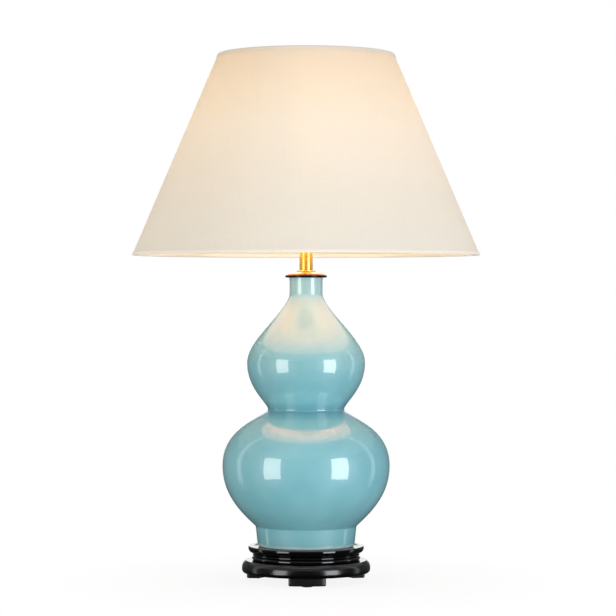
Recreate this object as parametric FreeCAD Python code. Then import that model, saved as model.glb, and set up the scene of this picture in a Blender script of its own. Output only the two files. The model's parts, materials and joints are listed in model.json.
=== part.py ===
import FreeCAD, Part
import math
import os

from FreeCAD import Vector

# Double gourd table lamp, in millimetres.
# The origin is on the floor, on the lamp's axis. +Z is up and the front faces -Y.

# ---- Clearances ----
loose_gap = 0.3        # between pieces that come apart by hand
running_gap = 0.1      # between a shaft and its hole
hole_gap = 0.4         # between the centre rod and what it passes through
cut_past = 1.0         # how far a cut runs past the faces it opens

# ---- Stand: black turned wood on three feet ----
pad_thickness = 1.0
pad_radius = 6.5
foot_count = 3
foot_turn = -88.8      # degrees, where the front foot stands
foot_height = 10.0
foot_depth = 17.0
foot_inset = 4.2       # a foot's outer face, in from the apron's bulge
foot_half_angle = 18.0
foot_rounding = 2.0
screw_shank_radius = 1.6
screw_head_radius = 3.4
screw_head_height = 2.0
screw_length = 18.0

apron_height = 16.5
apron_bulge_radius = 84.2
apron_bulge_rise = 5.0
apron_lip_inset = 5.0
apron_lip_fall = 40      # degrees, how steeply the shoulder falls from the lip
apron_bottom_inset = 4.0
apron_cavity_step = 0.5   # the cavity's wall, out from the feet's inner faces
apron_deck_thickness = 5.0

collar_height = 18.5
collar_waist_radius = 68.6
collar_rim_radius = 75.8
collar_rim_height = 8.6
collar_rim_edge = 1.2  # width and height of the rim's rounded upper edge
collar_rim_brow = 1.0  # where the rim's underside starts, out from the waist
large_bead_height = 5.6
large_bead_depth = 2.4
small_bead_height = 3.4
small_bead_depth = 1.5
seat_depth = 1.5
seat_clearance = 3.6
seat_slope = 2.4

inlet_bore_radius = 2.6
inlet_wall = 1.2
inlet_flange_radius = 5.0
inlet_flange_thickness = 1.8
inlet_rise = 7.0       # centre of the inlet above the apron's lower edge
inlet_reach = 1.0      # how far the barrel stands into the apron's cavity

# ---- Vase: glazed ceramic double gourd ----
seat_pad_thickness = 1.0
seat_pad_width = 9.0
vase_height = 352.8
vase_wall = 5.0
vase_floor_rise = 5.0
vase_floor_thickness = 6.0
foot_ring_width = 8.0
foot_ring_rounding = 2.4
vase_foot_radius = 63.3
foot_top_radius = 66.2
foot_top_rise = 26.4
foot_crease_rounding = 3.0
lower_start_angle = 43.0
lower_belly_radius = 109.8
lower_belly_rise = 106.2
waist_radius = 49.4    # where the two bulbs would meet in a sharp crease
waist_rise = 178.7
waist_rounding = 3.0
waist_angle_below = 151.4
waist_angle_above = 66.0
upper_belly_radius = 77.7
upper_belly_rise = 240.7
neck_radius = 21.7
neck_height = 21.0     # the straight neck under the brass cap
neck_flare = 0.9
neck_flare_height = 5.0
neck_lip_rounding = 1.2
# How far each curve of the side keeps its end's direction, as shares of its rise
lower_hold = (0.36, 0.47)
shoulder_hold = (0.57, 0.395)
upper_hold = (0.185, 0.54)
neck_hold = (0.345, 0.24)

# ---- Brass neck and stem ----
cap_radius = 27.6
cap_roll_radius = 2.2
cap_drop = 1.0         # how far the rolled edge hangs below the neck's lip
cap_height = 7.0
cap_hub_radius = 11.0
cap_side_hold = 3.4    # how long the dome's curve keeps its direction above the rolled edge
cap_top_hold = 8.0     # and round the hub
plug_length = 13.0
stem_collar_radius = 13.0
stem_collar_thickness = 1.6
stem_radius = 8.6
stem_wall = 1.2
stem_length = 73.1

# ---- Centre rod and what locks it ----
rod_radius = 5.0
rod_bore_radius = 3.6
rod_thread_left = 1.2  # rod left showing under the nut
rod_into_socket = 6.5
washer_radius = 16.0
washer_thickness = 2.0
lock_washer_radius = 8.6
lock_washer_thickness = 1.2
nut_across_flats = 17.0
nut_thickness = 5.5

# ---- Harp ----
harp_turn = 250.0      # degrees, the harp's front leg
leg_spacing = 74.0
harp_wire_radius = 1.6
harp_height = 182.1    # from the foot of a leg to the middle of the top wire
harp_half_width = 53.0
saddle_thickness = 1.6
saddle_half_width = 7.0
saddle_hub_radius = 11.0
post_radius = 3.0
post_height = 12.0
post_floor = 1.4
sleeve_wall = 0.8
sleeve_height = 14.0
sleeve_bead_depth = 0.5
sleeve_bead_height = 1.5
sleeve_travel = 10.0
leg_bend_reach = 7.0   # straight wire left above a lifted sleeve
leg_bend_radius = 30.0
side_bend_radius = 80.0
shoulder_bend_radius = 16.0
side_low_share = 0.38  # heights of the side's two bends, as shares of the harp's
side_high_share = 0.70
side_taper = 3.0       # how far the side leans in between them
top_share = 0.6        # half of the flat top, as a share of a leg's distance
boss_radius = 5.0
boss_height = 4.6
stud_flange_radius = 6.5
stud_flange_thickness = 2.0
stud_pin_radius = 1.9
stud_rivet_radius = 3.2
stud_rivet_thickness = 0.9
stud_thread_radius = 3.1
stud_thread_length = 11.5
stud_rounding = 0.4

# ---- Lampholder ----
socket_radius = 17.2
socket_wall = 0.7
socket_neck_radius = 8.6
socket_cap_height = 12.0
socket_cap_lap = 2.4
socket_cap_neck = 4.0  # height of the narrow neck that takes the set screw
socket_cap_shoulder = 0.7   # where the shoulder ends, as a share of the cap's height
socket_neck_wall = 2.2
socket_shell_height = 51.0
socket_lip = 0.8
shell_bead_share = 0.45     # where the shell's bead lies, as a share of its height
shell_bead_depth = 0.6
shell_bead_reach = 1.5
liner_wall = 0.6
liner_drop = 3.0       # top of the liner below the shell's lip
insulator_height = 14.0
insulator_side_gap = 2.0
insulator_foot_height = 3.0
wire_hole_radius = 1.6
wire_hole_circle = 7.0
wire_hole_depth = 6.0
screw_shell_wall = 0.5
screw_shell_height = 26.0
contact_radius = 3.6
contact_height = 2.2
terminal_radius = 2.4
terminal_height = 1.5
terminal_drop = 2.0    # rim of a terminal screw below the moulded core's top
slot_width = 0.6
slot_depth = 0.5
set_screw_radius = 1.5
set_screw_gap = 0.05
set_screw_length = 5.0
knob_turn = 340.0      # degrees, at right angles to the harp
knob_radius = 6.0
knob_length = 13.0
knob_rise = 6.6        # centre of the knob above the lampholder cap
knob_gap = 1.0         # from the lampholder cap's side to the knob
knob_rounding = 1.2
knob_grips = 12
grip_radius = 0.7
grip_start = 1.5
knob_socket_share = 0.6     # how deep the spindle goes into the knob
spindle_radius = 1.5
spindle_hole_radius = 2.2
spindle_depth = 8.0

# ---- Bulb ----
bulb_radius = 30.0
bulb_length = 110.0
bulb_neck_radius = 13.6
bulb_neck_height = 8.0
bulb_seat_depth = 6.0  # glass held inside the top of its cap
bulb_glass_wall = 0.9
bulb_cap_radius = 13.1
bulb_cap_length = 26.0
bulb_cap_wall = 0.5
bulb_tip_radius = 4.6
bulb_tip_height = 1.4
bulb_heel_height = 4.0
bulb_stem_radius = 5.0
bulb_stem_length = 44.0
bulb_stem_flare = 8.0  # height of the stem's flared foot and of its pinched top
filament_radius = 9.0
filament_wire_radius = 0.6
filament_bend_radius = 1.5
lead_depth = 1.5       # how far the lead wires run into the stem
lead_spread_rise = 0.5 # how far they climb while they spread

# ---- Shade ----
shade_height = 264.0
shade_bottom_radius = 228.6
shade_top_radius = 115.7
spider_recess = 20.5   # shade top above the top of the spider's hub
cloth_wall = 0.8
lining_wall = 0.7
ring_wire_radius = 1.5
ring_edge_gap = 0.4    # from a ring to the fold of its binding
binding_height = 4.4
binding_wall = 0.5
spider_arms = 3
spider_turn = 90.0
spider_wire_radius = 1.6
hub_radius = 11.0
hub_thickness = 2.0
arm_root = 2.0         # how far an arm reaches into the hub
arm_tip_gap = 0.05     # from an arm's tip to the top ring
hub_face_width = 8.5   # flat faces kept clear for the stud and the finial
spider_bend_width = 15.0
spider_bend_rounding = 9.0

# ---- Finial ----
finial_height = 19.6
finial_base_radius = 6.8
finial_neck_radius = 5.0
finial_ball_radius = 6.2
finial_ball_share = 0.62    # heights of the ball and the waist, as shares of the finial's
finial_waist_share = 0.25
finial_base_height = 1.6

# ---- Places worked out from the sizes above ----
foot_outer_radius = apron_bulge_radius - foot_inset
foot_inner_radius = foot_outer_radius - foot_depth
screw_circle_radius = foot_outer_radius - foot_depth / 2
apron_lip_radius = apron_bulge_radius - apron_lip_inset
apron_bottom_radius = apron_bulge_radius - apron_bottom_inset
apron_cavity_radius = foot_inner_radius + apron_cavity_step
apron_z = pad_thickness + foot_height
collar_z = apron_z + apron_height
rim_z = collar_z + collar_height
seat_z = rim_z - seat_depth
vase_z = seat_z + seat_pad_thickness
vase_top_z = vase_z + vase_height
neck_z = vase_top_z - neck_height
cap_top_z = vase_top_z + cap_height
stem_z = cap_top_z + stem_collar_thickness
saddle_z = stem_z + stem_length
socket_z = saddle_z + saddle_thickness
deck_z = collar_z - apron_deck_thickness
nut_z = deck_z - washer_thickness - lock_washer_thickness - nut_thickness
rod_bottom_z = nut_z - rod_thread_left
rod_top_z = socket_z + rod_into_socket
shell_z = socket_z + socket_cap_height - socket_cap_lap
insulator_z = shell_z + socket_wall
knob_z = socket_z + socket_cap_height + knob_rise
screw_shell_z = insulator_z + insulator_height
contact_z = screw_shell_z
bulb_z = contact_z + contact_height + loose_gap
bulb_glass_z = bulb_z + bulb_tip_height + bulb_heel_height + bulb_cap_length - bulb_seat_depth
bulb_centre_z = bulb_z + bulb_length - bulb_radius
leg_z = saddle_z + post_floor + loose_gap
harp_top_z = leg_z + harp_height
boss_z = harp_top_z - boss_height / 2
stud_z = harp_top_z + boss_height / 2
hub_z = stud_z + stud_flange_thickness
finial_z = hub_z + hub_thickness
shade_top_z = finial_z + spider_recess
shade_z = shade_top_z - shade_height
shade_slope = (shade_bottom_radius - shade_top_radius) / shade_height

UP = Vector(0, 0, 1)
CENTRE = Vector(0, 0, 0)


# ---- Drawing helpers: outlines lie in the (radius, height) half plane ----
def spot(radius, height):
    return Vector(radius, 0, height)


def heading(degrees):
    angle = math.radians(degrees)
    return spot(math.cos(angle), math.sin(angle))


def direction(start, end):
    return (end - start).normalize()


def line(start, end):
    return Part.LineSegment(start, end).toShape()


def arc(start, middle, end):
    return Part.Arc(start, middle, end).toShape()


def curve(*poles):
    bezier = Part.BezierCurve()
    bezier.setPoles(list(poles))
    return bezier.toShape()


def rounding(corner, arriving, leaving, radius):
    """Start, middle and end of the arc that rounds a corner of a path."""
    half = arriving.getAngle(leaving) / 2
    reach = radius * math.tan(half)
    bulge = radius * (1 / math.cos(half) - 1)
    inwards = (leaving - arriving).normalize()
    return corner - arriving * reach, corner + inwards * bulge, corner + leaving * reach


def rounded_path(corners, closed):
    """Wire through (radius, height, rounding) corners."""
    points = [spot(r, z) for r, z, _ in corners]
    count = len(points)
    edges = []
    pen = None
    for index, (_, _, radius) in enumerate(corners):
        point = points[index]
        at_end = not closed and index in (0, count - 1)
        if at_end or radius == 0:
            start, middle, end = point, None, point
        else:
            arriving = direction(points[index - 1], point)
            leaving = direction(point, points[(index + 1) % count])
            start, middle, end = rounding(point, arriving, leaving, radius)
        if pen is None:
            first = start
        else:
            edges.append(line(pen, start))
        if middle is not None:
            edges.append(arc(start, middle, end))
        pen = end
    if closed:
        edges.append(line(pen, first))
    return Part.Wire(edges)


def turned(outline, degrees=360):
    """Solid swept by a closed outline about the lamp's axis."""
    return Part.Face(outline).revolve(CENTRE, UP, degrees)


def turned_corners(corners, degrees=360):
    return turned(rounded_path(corners, True), degrees)


def rod(radius, bottom, top):
    return Part.makeCylinder(radius, top - bottom, spot(0, bottom))


def tube(inner, outer, bottom, top):
    return rod(outer, bottom, top).cut(rod(inner, bottom, top))


def spun(shape, degrees):
    """A copy turned about the lamp's axis."""
    copy = shape.copy()
    copy.rotate(CENTRE, UP, degrees)
    return copy


def bar_along(radius, start, end, height):
    """Round bar along +X, between two distances from the axis."""
    return Part.makeCylinder(radius, end - start, Vector(start, 0, height), Vector(1, 0, 0))


def wire_along(path, start, way, radius):
    """Round wire swept along a path that leaves start in the given way."""
    section = Part.Wire(Part.makeCircle(radius, start, way))
    return path.makePipeShell([section], True, False)


def sharp_edges(shape, test):
    return [edge for edge in shape.Edges if test(edge.CenterOfMass)]


def save(node, *solids):
    shape = solids[0] if len(solids) == 1 else Part.makeCompound(list(solids))
    shape.exportStep("parts/" + node + ".step")


# ---- Stand ----
def foot_angles():
    return [foot_turn + 360 / foot_count * n for n in range(foot_count)]


def foot_screw():
    head_z = pad_thickness
    return turned_corners([
        (0, head_z, 0),
        (screw_head_radius, head_z, 0),
        (screw_shank_radius, head_z + screw_head_height, 0),
        (screw_shank_radius, head_z + screw_length - screw_shank_radius, 0),
        (0, head_z + screw_length, 0),
    ]).translated(spot(screw_circle_radius, 0))


def foot_block():
    """Arc-shaped block, rounded over at its toe and its outer corners."""
    block = turned_corners([
        (foot_inner_radius, pad_thickness, 0),
        (foot_outer_radius, pad_thickness, 0),
        (foot_outer_radius, apron_z, 0),
        (foot_inner_radius, apron_z, 0),
    ], 2 * foot_half_angle)
    block = spun(block, -foot_half_angle)
    outer = sharp_edges(block, lambda at: at.z < apron_z - foot_rounding / 2
                        and math.hypot(at.x, at.y) > foot_inner_radius + foot_rounding / 2)
    return block.makeFillet(foot_rounding, outer).cut(foot_screw())


def foot_pad():
    return rod(pad_radius, 0, pad_thickness).translated(spot(screw_circle_radius, 0))


def make_feet():
    names = ["stand_foot_front", "stand_foot_right", "stand_foot_left"]
    for name, angle in zip(names, foot_angles()):
        save(name, spun(foot_block(), angle))
    save("foot_screws", *[spun(foot_screw(), angle) for angle in foot_angles()])
    save("foot_pads", *[spun(foot_pad(), angle) for angle in foot_angles()])


def apron():
    bulge_z = apron_z + apron_bulge_rise
    hole = rod_radius + hole_gap
    lip = spot(apron_lip_radius, collar_z)
    widest = spot(apron_bulge_radius, bulge_z)
    heel = spot(apron_bottom_radius, apron_z)
    upper = (collar_z - bulge_z) / 2
    lower = apron_bulge_rise / 2
    outline = Part.Wire([
        line(spot(hole, collar_z), lip),
        curve(lip, lip + heading(-apron_lip_fall) * apron_lip_inset, widest + spot(0, upper), widest),
        curve(widest, widest - spot(0, lower), heel + spot(lower, 0), heel),
        line(heel, spot(apron_cavity_radius, apron_z)),
        line(spot(apron_cavity_radius, apron_z), spot(apron_cavity_radius, deck_z)),
        line(spot(apron_cavity_radius, deck_z), spot(hole, deck_z)),
        line(spot(hole, deck_z), spot(hole, collar_z)),
    ])
    body = turned(outline)
    for angle in foot_angles():
        body = body.cut(spun(foot_screw(), angle))
    return body.cut(spun(inlet_room(), 90))


# The cord inlet is drawn along +X and then turned to the back, +Y.
inlet_z = apron_z + inlet_rise
inlet_radius = inlet_bore_radius + inlet_wall
inlet_face = apron_bulge_radius - inlet_flange_thickness
inlet_start = apron_cavity_radius - inlet_reach


def inlet_room():
    barrel = bar_along(inlet_radius, inlet_start, apron_bulge_radius + cut_past, inlet_z)
    flange = bar_along(inlet_flange_radius, inlet_face, apron_bulge_radius + cut_past, inlet_z)
    return barrel.fuse(flange)


def cord_grommet():
    barrel = bar_along(inlet_radius, inlet_start, inlet_face, inlet_z)
    flange = bar_along(inlet_flange_radius, inlet_face, apron_bulge_radius, inlet_z)
    bore = bar_along(inlet_bore_radius, inlet_start, apron_bulge_radius, inlet_z)
    return spun(barrel.fuse(flange).cut(bore).removeSplitter(), 90)


def collar():
    hole = rod_radius + hole_gap
    waist = collar_waist_radius
    bead_top = collar_z + large_bead_height
    small_top = bead_top + small_bead_height
    rim_bottom = rim_z - collar_rim_height
    seat_radius = vase_foot_radius + seat_clearance
    widest = spot(collar_rim_radius, rim_z - collar_rim_height / 4)
    edge = spot(collar_rim_radius - collar_rim_edge, rim_z)
    brow = spot(waist + collar_rim_brow, rim_bottom)
    points = [
        spot(hole, seat_z),
        spot(hole, collar_z),
        spot(waist, collar_z),
    ]
    edges = [line(a, b) for a, b in zip(points, points[1:])]
    edges += [
        arc(points[-1], spot(waist + large_bead_depth, collar_z + large_bead_height / 2),
            spot(waist, bead_top)),
        arc(spot(waist, bead_top), spot(waist + small_bead_depth, bead_top + small_bead_height / 2),
            spot(waist, small_top)),
        line(spot(waist, small_top), brow),
        curve(brow, spot(edge.x, rim_bottom), widest - spot(0, collar_rim_height / 3), widest),
        curve(widest, widest + spot(0, collar_rim_edge), edge + spot(collar_rim_edge * 2 / 3, 0), edge),
        line(edge, spot(seat_radius + seat_slope, rim_z)),
        line(spot(seat_radius + seat_slope, rim_z), spot(seat_radius, seat_z)),
        line(spot(seat_radius, seat_z), points[0]),
    ]
    return turned(Part.Wire(edges))


# ---- Vase ----
def inward(way):
    """Towards the vase's inside, for an outline drawn upwards."""
    return Vector(-way.z, 0, way.x)


def inset_corner(corner, arriving, leaving, inset):
    first = inward(arriving)
    second = inward(leaving)
    return corner + (first + second) * (inset / (1 + first.dot(second)))


def side_curve(start, leaving, end, arriving, hold):
    """One curve of the side; hold says how long it keeps each end's direction."""
    rise = end.z - start.z
    return curve(start, start + leaving * (hold[0] * rise), end - arriving * (hold[1] * rise), end)


def gourd_side(inset):
    """Edges from the foot's crease up to the neck, moved inwards by a wall."""
    foot_bottom = spot(vase_foot_radius, vase_z)
    foot_top = spot(foot_top_radius, vase_z + foot_top_rise)
    foot_way = direction(foot_bottom, foot_top)
    start_way = heading(lower_start_angle)
    below = heading(waist_angle_below)
    above = heading(waist_angle_above)
    lower_belly = spot(lower_belly_radius - inset, vase_z + lower_belly_rise)
    upper_belly = spot(upper_belly_radius - inset, vase_z + upper_belly_rise)
    neck = spot(neck_radius - inset, neck_z)
    crease = rounding(inset_corner(foot_top, foot_way, start_way, inset),
                      foot_way, start_way, foot_crease_rounding + inset)
    waist_corner = inset_corner(spot(waist_radius, vase_z + waist_rise), below, above, inset)
    waist = rounding(waist_corner, below, above, waist_rounding + inset)
    return [
        arc(*crease),
        side_curve(crease[2], start_way, lower_belly, UP, lower_hold),
        side_curve(lower_belly, UP, waist[0], below, shoulder_hold),
        arc(*waist),
        side_curve(waist[2], above, upper_belly, UP, upper_hold),
        side_curve(upper_belly, UP, neck, UP, neck_hold),
    ]


def vase():
    floor_z = vase_z + vase_floor_rise
    inner_floor_z = floor_z + vase_floor_thickness
    hole = rod_radius + hole_gap
    ring_inner = vase_foot_radius - foot_ring_width
    flare_z = vase_top_z - neck_flare_height
    bore = neck_radius - vase_wall
    outside = gourd_side(0)
    inside = gourd_side(vase_wall)
    out_start = outside[0].valueAt(outside[0].FirstParameter)
    out_end = spot(neck_radius, neck_z)
    in_start = inside[0].valueAt(inside[0].FirstParameter)
    in_end = spot(bore, neck_z)
    foot = spot(vase_foot_radius, vase_z)
    foot_way = direction(foot, out_start)
    heel = rounding(foot, Vector(1, 0, 0), foot_way, foot_ring_rounding)
    lip = spot(neck_radius + neck_flare, vase_top_z)
    lip_way = direction(spot(neck_radius, flare_z), lip)
    lip_round = rounding(lip, lip_way, Vector(-1, 0, 0), neck_lip_rounding)
    inner_foot = in_start - foot_way * ((in_start.z - inner_floor_z) / foot_way.z)
    edges = [line(spot(ring_inner, vase_z), heel[0]), arc(*heel), line(heel[2], out_start)]
    edges += outside
    edges += [
        line(out_end, spot(neck_radius, flare_z)),
        line(spot(neck_radius, flare_z), lip_round[0]),
        arc(*lip_round),
        line(lip_round[2], spot(bore, vase_top_z)),
        line(spot(bore, vase_top_z), in_end),
    ]
    edges += inside
    edges += [
        line(in_start, inner_foot),
        line(inner_foot, spot(hole, inner_floor_z)),
        line(spot(hole, inner_floor_z), spot(hole, floor_z)),
        line(spot(hole, floor_z), spot(ring_inner, floor_z)),
        line(spot(ring_inner, floor_z), spot(ring_inner, vase_z)),
    ]
    return turned(Part.Wire(Part.__sortEdges__(edges)))


def seat_pad():
    outer = vase_foot_radius - foot_ring_rounding / 2
    return tube(outer - seat_pad_width, outer, seat_z, vase_z)


# ---- Neck cap, stem and rod ----
def neck_cap():
    hole = rod_radius + hole_gap
    roll = spot(cap_radius - cap_roll_radius, vase_top_z - cap_drop + cap_roll_radius)
    outer = roll + spot(cap_roll_radius, 0)
    under = roll - spot(0, cap_roll_radius)
    over = roll + heading(70) * cap_roll_radius
    hub = spot(cap_hub_radius, cap_top_z)
    inside = neck_radius + neck_flare + loose_gap
    turn_in = spot(inside, under.z)
    edges = [
        line(spot(hole, vase_top_z), spot(inside, vase_top_z)),
        line(spot(inside, vase_top_z), turn_in),
        line(turn_in, under),
        arc(under, roll + heading(-45) * cap_roll_radius, outer),
        arc(outer, roll + heading(35) * cap_roll_radius, over),
        curve(over, over + heading(118) * cap_side_hold, hub + spot(cap_top_hold, -0.2), hub),
        line(hub, spot(hole, cap_top_z)),
        line(spot(hole, cap_top_z), spot(hole, vase_top_z)),
    ]
    return turned(Part.Wire(edges))


def neck_plug():
    outer = neck_radius - vase_wall - loose_gap
    return tube(rod_radius + hole_gap, outer, vase_top_z - plug_length, vase_top_z)


def stem_collar():
    round_over = stem_collar_thickness * 0.4
    return turned_corners([
        (rod_radius + hole_gap, cap_top_z, 0),
        (stem_collar_radius, cap_top_z, round_over),
        (stem_collar_radius, stem_z, round_over),
        (rod_radius + hole_gap, stem_z, 0),
    ])


def stem_tube():
    return tube(stem_radius - stem_wall, stem_radius, stem_z, saddle_z)


def nut():
    corner = nut_across_flats / math.sqrt(3)
    points = [Vector(corner * math.cos(math.radians(60 * n)),
                     corner * math.sin(math.radians(60 * n)), nut_z) for n in range(7)]
    prism = Part.Face(Part.makePolygon(points)).extrude(UP * nut_thickness)
    return prism.cut(rod(rod_radius, nut_z, nut_z + nut_thickness))


def make_rod():
    washer_z = deck_z - washer_thickness
    save("threaded_rod", tube(rod_bore_radius, rod_radius, rod_bottom_z, rod_top_z))
    save("base_washer", tube(rod_radius + hole_gap, washer_radius, washer_z, deck_z))
    save("base_lock_washer", tube(rod_radius + hole_gap / 2, lock_washer_radius,
                                  washer_z - lock_washer_thickness, washer_z))
    save("base_nut", nut())


# ---- Harp: drawn in the XZ plane, then turned ----
leg_x = leg_spacing / 2


def harp_saddle():
    hub = rod(saddle_hub_radius, saddle_z, socket_z)
    strap = Part.makeBox(leg_spacing, 2 * saddle_half_width, saddle_thickness,
                         Vector(-leg_x, -saddle_half_width, saddle_z))
    saddle = hub.fuse(strap)
    for side in (-1, 1):
        place = Vector(side * leg_x, 0, 0)
        end = rod(saddle_half_width, saddle_z, socket_z).translated(place)
        post = rod(post_radius, saddle_z, saddle_z + post_height).translated(place)
        saddle = saddle.fuse([end, post])
    for side in (-1, 1):
        cup = rod(harp_wire_radius + running_gap, saddle_z + post_floor,
                  saddle_z + post_height + cut_past)
        saddle = saddle.cut(cup.translated(Vector(side * leg_x, 0, 0)))
    hole = rod(rod_radius + hole_gap / 2, saddle_z, socket_z)
    return saddle.cut(hole).removeSplitter()


def harp():
    """Wire loop: straight legs, a long bowed side and a short flat top."""
    width = harp_half_width
    bend_z = socket_z + loose_gap + sleeve_height + sleeve_travel + leg_bend_reach
    side = [
        (leg_x, leg_z, 0),
        (leg_x, bend_z, leg_bend_radius),
        (width, leg_z + side_low_share * harp_height, side_bend_radius),
        (width - side_taper, leg_z + side_high_share * harp_height, side_bend_radius),
        (leg_x * top_share, harp_top_z, shoulder_bend_radius),
    ]
    mirrored = [(-x, z, radius) for x, z, radius in reversed(side)]
    path = rounded_path(side + mirrored, False)
    loop = wire_along(path, spot(leg_x, leg_z), UP, harp_wire_radius)
    boss = rod(boss_radius, boss_z, stud_z)
    hole = rod(stud_pin_radius + running_gap, boss_z - cut_past, stud_z + cut_past)
    return loop.fuse(boss).cut(hole).removeSplitter()


def harp_stud():
    """The swivel at the harp's top, which carries the shade."""
    top = hub_z + stud_thread_length
    rivet_z = boss_z - loose_gap
    return turned_corners([
        (0, rivet_z - stud_rivet_thickness, 0),
        (stud_rivet_radius, rivet_z - stud_rivet_thickness, stud_rounding),
        (stud_rivet_radius, rivet_z, 0),
        (stud_pin_radius, rivet_z, 0),
        (stud_pin_radius, stud_z, 0),
        (stud_flange_radius, stud_z, stud_rounding),
        (stud_flange_radius, hub_z, stud_rounding),
        (stud_thread_radius, hub_z, 0),
        (stud_thread_radius, top, stud_rounding),
        (0, top, 0),
    ])


def harp_sleeve():
    inner = post_radius + loose_gap
    outer = inner + sleeve_wall
    bead = outer + sleeve_bead_depth
    bottom = socket_z + loose_gap
    bead_top = bottom + sleeve_bead_height
    sleeve = turned_corners([
        (inner, bottom, 0),
        (bead, bottom, sleeve_bead_depth * 0.8),
        (bead, bead_top, sleeve_bead_depth * 0.8),
        (outer, bead_top + 2 * sleeve_bead_depth, 0),
        (outer, bottom + sleeve_height, sleeve_wall / 3),
        (inner, bottom + sleeve_height, 0),
    ])
    return sleeve.translated(Vector(leg_x, 0, 0))


def make_harp():
    save("harp_saddle", spun(harp_saddle(), harp_turn))
    save("harp", spun(harp(), harp_turn))
    save("harp_sleeve_front", spun(harp_sleeve(), harp_turn))
    save("harp_sleeve_rear", spun(harp_sleeve(), harp_turn + 180))
    save("harp_stud", harp_stud())


# ---- Lampholder ----
shell_radius = socket_radius - socket_wall - running_gap
liner_radius = shell_radius - socket_wall - running_gap
insulator_radius = liner_radius - liner_wall - insulator_side_gap


def socket_cap():
    rim_top = socket_z + socket_cap_height
    hole = rod_radius + hole_gap / 2
    neck_top = socket_z + socket_cap_neck
    shoulder = socket_z + socket_cap_height * socket_cap_shoulder
    inner = socket_radius - socket_wall
    bore = rod_radius + socket_neck_wall
    roof = neck_top - socket_neck_wall / 2
    cap = turned_corners([
        (hole, socket_z, 0),
        (socket_neck_radius, socket_z, 0.4),
        (socket_neck_radius, neck_top, 1.0),
        (socket_radius, shoulder, 4.0),
        (socket_radius, rim_top, 0.3),
        (inner, rim_top, 0),
        (inner, shoulder + socket_wall, 0),
        (bore, neck_top + socket_wall, 0),
        (bore, roof, 0),
        (hole, roof, 0),
    ])
    return cap.cut(set_screw_room())


set_screw_z = socket_z + socket_cap_neck / 2


def driver_slot(head, radius, height):
    """Room for a screwdriver across a screw whose head ends at a distance along +X."""
    corner = Vector(head - slot_depth, -radius - cut_past, height - slot_width / 2)
    return Part.makeBox(slot_depth + cut_past, 2 * (radius + cut_past), slot_width, corner)


def set_screw_room():
    start = rod_radius
    return spun(bar_along(set_screw_radius, start, start + set_screw_length, set_screw_z), 180)


def set_screw():
    start = rod_radius + hole_gap / 2
    screw = bar_along(set_screw_radius - set_screw_gap, start, start + set_screw_length, set_screw_z)
    return spun(screw.cut(driver_slot(start + set_screw_length, set_screw_radius, set_screw_z)), 180)


def spindle_room(start, end):
    return spun(bar_along(spindle_hole_radius, start, end, knob_z), knob_turn)


def socket_shell():
    top = shell_z + socket_shell_height
    inner = shell_radius - socket_wall
    bead_z = shell_z + shell_bead_share * socket_shell_height
    shell = turned_corners([
        (inner, shell_z, 0),
        (shell_radius, shell_z, 0),
        (shell_radius, bead_z - shell_bead_reach, 0.4),
        (shell_radius + shell_bead_depth, bead_z, 0.8),
        (shell_radius, bead_z + shell_bead_reach, 0.4),
        (shell_radius, top - 2.5 * socket_lip, 0),
        (shell_radius + socket_lip, top - 1.25 * socket_lip, 0.6),
        (shell_radius + socket_lip * 0.5, top, 0.3),
        (inner, top, 0.2),
    ])
    return shell.cut(spindle_room(inner - 1, socket_radius + 2))


def socket_liner():
    top = shell_z + socket_shell_height - liner_drop
    liner = tube(liner_radius - liner_wall, liner_radius, shell_z, top)
    return liner.cut(spindle_room(insulator_radius, socket_radius))


def socket_insulator():
    """Moulded core: it stands on the shell's lining and carries the contacts."""
    core = rod(insulator_radius, insulator_z, screw_shell_z)
    foot = rod(liner_radius - liner_wall - running_gap, insulator_z,
               insulator_z + insulator_foot_height)
    wire_hole = rod(wire_hole_radius, insulator_z - cut_past, insulator_z + wire_hole_depth)
    wire_holes = [wire_hole.translated(spun_spot(wire_hole_circle, knob_turn + turn)) for turn in (90, 270)]
    seat = spun(bar_along(spindle_radius + running_gap, insulator_radius - spindle_depth,
                          insulator_radius + 5, knob_z), knob_turn)
    return core.fuse(foot).cut(wire_holes + [seat]).removeSplitter()


def spun_spot(radius, degrees):
    angle = math.radians(degrees)
    return Vector(radius * math.cos(angle), radius * math.sin(angle), 0)


def screw_shell():
    inner = bulb_cap_radius + loose_gap
    outer = inner + screw_shell_wall
    return tube(inner, outer, screw_shell_z, screw_shell_z + screw_shell_height)


def centre_contact():
    return turned_corners([
        (0, contact_z, 0),
        (contact_radius, contact_z, 0),
        (contact_radius, contact_z + contact_height / 2, 0.3),
        (contact_radius * 0.4, contact_z + contact_height, 0.3),
        (0, contact_z + contact_height, 0),
    ])


def terminal_screw(turn):
    height = screw_shell_z - terminal_radius - terminal_drop
    screw = bar_along(terminal_radius, insulator_radius, insulator_radius + terminal_height, height)
    head = insulator_radius + terminal_height
    return spun(screw.cut(driver_slot(head, terminal_radius, height)), turn)


def switch_knob():
    start = socket_radius + knob_gap
    end = start + knob_length
    body = bar_along(knob_radius, start, end, knob_z)
    ends = [edge for edge in body.Edges if edge.Closed]
    body = body.makeFillet(knob_rounding, ends)
    grip = bar_along(grip_radius, start + grip_start, end + cut_past, knob_z + knob_radius)
    grips = [spun_about_knob(grip, 360 / knob_grips * n) for n in range(knob_grips)]
    socket = bar_along(spindle_radius, start, start + knob_length * knob_socket_share, knob_z)
    return spun(body.cut(grips + [socket]), knob_turn)


def spun_about_knob(shape, degrees):
    copy = shape.copy()
    copy.rotate(Vector(0, 0, knob_z), Vector(1, 0, 0), degrees)
    return copy


def switch_spindle():
    start = insulator_radius - spindle_depth + loose_gap
    end = socket_radius + knob_gap + knob_length * knob_socket_share
    return spun(bar_along(spindle_radius, start, end, knob_z), knob_turn)


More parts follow.
